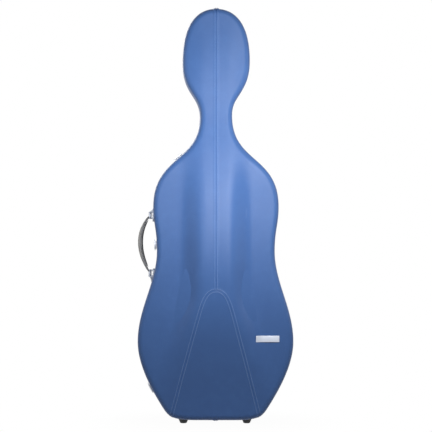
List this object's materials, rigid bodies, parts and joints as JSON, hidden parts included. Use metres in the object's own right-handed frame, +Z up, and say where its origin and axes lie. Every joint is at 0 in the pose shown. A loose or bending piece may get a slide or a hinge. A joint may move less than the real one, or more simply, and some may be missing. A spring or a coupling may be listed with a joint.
{
  "type": "cello hard case",
  "caption": "Hinged hard case for a cello in two moulded shells, with side latches, a side handle, feet, strap rings and padded holders inside.",
  "frame": {"origin": "middle of the whole part seen from above, on the floor under the four base feet", "axes": "+X to the hinge side, +Y from the lid to the back, +Z up from the feet to the head end; the shells part on the plane Y = 0"},
  "size_m": [0.5102, 0.3027, 1.348],
  "materials": {
    "covering": "satin grained leather cloth over a moulded shell",
    "rim_plastic": "matt",
    "rubber": "matt",
    "lining_cloth": "short pile",
    "satin_metal": "satin",
    "steel": "bright",
    "grip_leather": "satin",
    "grip_rubber": "matt"
  },
  "bodies": {
    "case_body": {"hinge_lower_body_leaf": "satin_metal", "hinge_lower_pin": "steel", "hinge_upper_body_leaf": "satin_metal", "hinge_upper_pin": "steel", "body_shell": "covering", "body_lining": "lining_cloth", "body_rim": "rim_plastic", "rim_gasket": "rubber", "back_seam_welt": "covering", "latch_shoulder_base": "satin_metal", "latch_shoulder_pin": "steel", "latch_waist_base": "satin_metal", "latch_waist_pin": "steel", "latch_lower_base": "satin_metal", "latch_lower_pin": "steel", "handle_bracket_upper": "satin_metal", "handle_pin_upper": "steel", "handle_bracket_lower": "satin_metal", "handle_pin_lower": "steel", "foot_body_left": "rubber", "foot_back_lower_left": "rubber", "foot_back_upper_left": "rubber", "foot_body_right": "rubber", "foot_back_lower_right": "rubber", "foot_back_upper_right": "rubber", "strap_plate_top": "satin_metal", "strap_plate_left": "satin_metal", "strap_plate_right": "satin_metal", "suspension_lower": "lining_cloth", "suspension_upper": "lining_cloth", "end_block": "lining_cloth", "neck_cradle": "lining_cloth", "neck_strap": "lining_cloth"},
    "lid": {"hinge_lower_lid_leaf": "satin_metal", "hinge_upper_lid_leaf": "satin_metal", "lid_shell": "covering", "lid_lining": "lining_cloth", "lid_rim": "rim_plastic", "lid_seam_welt": "covering", "latch_shoulder_keeper": "satin_metal", "latch_waist_keeper": "satin_metal", "latch_lower_keeper": "satin_metal", "foot_lid_left": "rubber", "foot_lid_right": "rubber", "name_plate": "satin_metal", "bow_pocket_left": "lining_cloth", "bow_pocket_right": "lining_cloth"},
    "latch_shoulder_lever": {"latch_shoulder_lever": "satin_metal"},
    "latch_shoulder_bail": {"latch_shoulder_bail": "steel"},
    "latch_waist_lever": {"latch_waist_lever": "satin_metal"},
    "latch_waist_bail": {"latch_waist_bail": "steel"},
    "latch_lower_lever": {"latch_lower_lever": "satin_metal"},
    "latch_lower_bail": {"latch_lower_bail": "steel"},
    "handle": {"handle_grip": "grip_leather", "handle_underside": "grip_rubber"},
    "strap_ring_top": {"strap_ring_top": "steel"},
    "strap_ring_left": {"strap_ring_left": "steel"},
    "strap_ring_right": {"strap_ring_right": "steel"},
    "bow_clip_left": {"bow_clip_left": "rim_plastic"},
    "bow_clip_right": {"bow_clip_right": "rim_plastic"}
  },
  "joints": [
    {"name": "lid_open", "type": "hinge", "parent": "case_body", "child": "lid", "pos_m": [0.25014, 0, 0.3009], "axis": [-0.1124, 0, 0.9937], "range_deg": [0, 165]},
    {"name": "latch_shoulder_lever_lift", "type": "hinge", "parent": "case_body", "child": "latch_shoulder_lever", "pos_m": [-0.12212, 0.013, 0.86744], "axis": [0.7481, 0, 0.6636], "range_deg": [0, 110]},
    {"name": "latch_shoulder_bail_swing", "type": "hinge", "parent": "latch_shoulder_lever", "child": "latch_shoulder_bail", "pos_m": [-0.12252, 0.0174, 0.86789], "axis": [0.7481, 0, 0.6636], "range_deg": [-126.5, 0]},
    {"name": "latch_waist_lever_lift", "type": "hinge", "parent": "case_body", "child": "latch_waist_lever", "pos_m": [-0.19551, 0.013, 0.57884], "axis": [-0.0349, 0, 0.9994], "range_deg": [0, 110]},
    {"name": "latch_waist_bail_swing", "type": "hinge", "parent": "latch_waist_lever", "child": "latch_waist_bail", "pos_m": [-0.19611, 0.0174, 0.57882], "axis": [-0.0349, 0, 0.9994], "range_deg": [-126.5, 0]},
    {"name": "latch_lower_lever_lift", "type": "hinge", "parent": "case_body", "child": "latch_lower_lever", "pos_m": [-0.20858, 0.013, 0.10984], "axis": [-0.4689, 0, 0.8832], "range_deg": [0, 110]},
    {"name": "latch_lower_bail_swing", "type": "hinge", "parent": "latch_lower_lever", "child": "latch_lower_bail", "pos_m": [-0.20911, 0.0174, 0.10956], "axis": [-0.4689, 0, 0.8832], "range_deg": [-126.5, 0]},
    {"name": "handle_swing", "type": "hinge", "parent": "case_body", "child": "handle", "pos_m": [-0.21402, 0.022, 0.584], "axis": [0, 0, -1], "range_deg": [-70, 70]},
    {"name": "strap_ring_top_swing", "type": "hinge", "parent": "case_body", "child": "strap_ring_top", "pos_m": [0, 0.11242, 0.96926], "axis": [1, 0, 0], "range_deg": [0, 100]},
    {"name": "strap_ring_left_swing", "type": "hinge", "parent": "case_body", "child": "strap_ring_left", "pos_m": [-0.11225, 0.13431, 0.12713], "axis": [0.9996, 0.0282, 0], "range_deg": [0, 100]},
    {"name": "strap_ring_right_swing", "type": "hinge", "parent": "case_body", "child": "strap_ring_right", "pos_m": [0.11225, 0.13431, 0.12713], "axis": [0.9996, -0.0282, 0], "range_deg": [0, 100]},
    {"name": "bow_clip_left_turn", "type": "hinge", "parent": "lid", "child": "bow_clip_left", "pos_m": [-0.062, -0.11522, 0.262], "axis": [0, 0.9846, 0.1746], "range_deg": [0, 90]},
    {"name": "bow_clip_right_turn", "type": "hinge", "parent": "lid", "child": "bow_clip_right", "pos_m": [0.062, -0.11522, 0.262], "axis": [0, 0.9846, 0.1746], "range_deg": [0, 90]}
  ],
  "couplings": [
    {"joint": "latch_shoulder_bail_swing", "follows": "latch_shoulder_lever_lift", "ratio": -1.15},
    {"joint": "latch_waist_bail_swing", "follows": "latch_waist_lever_lift", "ratio": -1.15},
    {"joint": "latch_lower_bail_swing", "follows": "latch_lower_lever_lift", "ratio": -1.15}
  ]
}
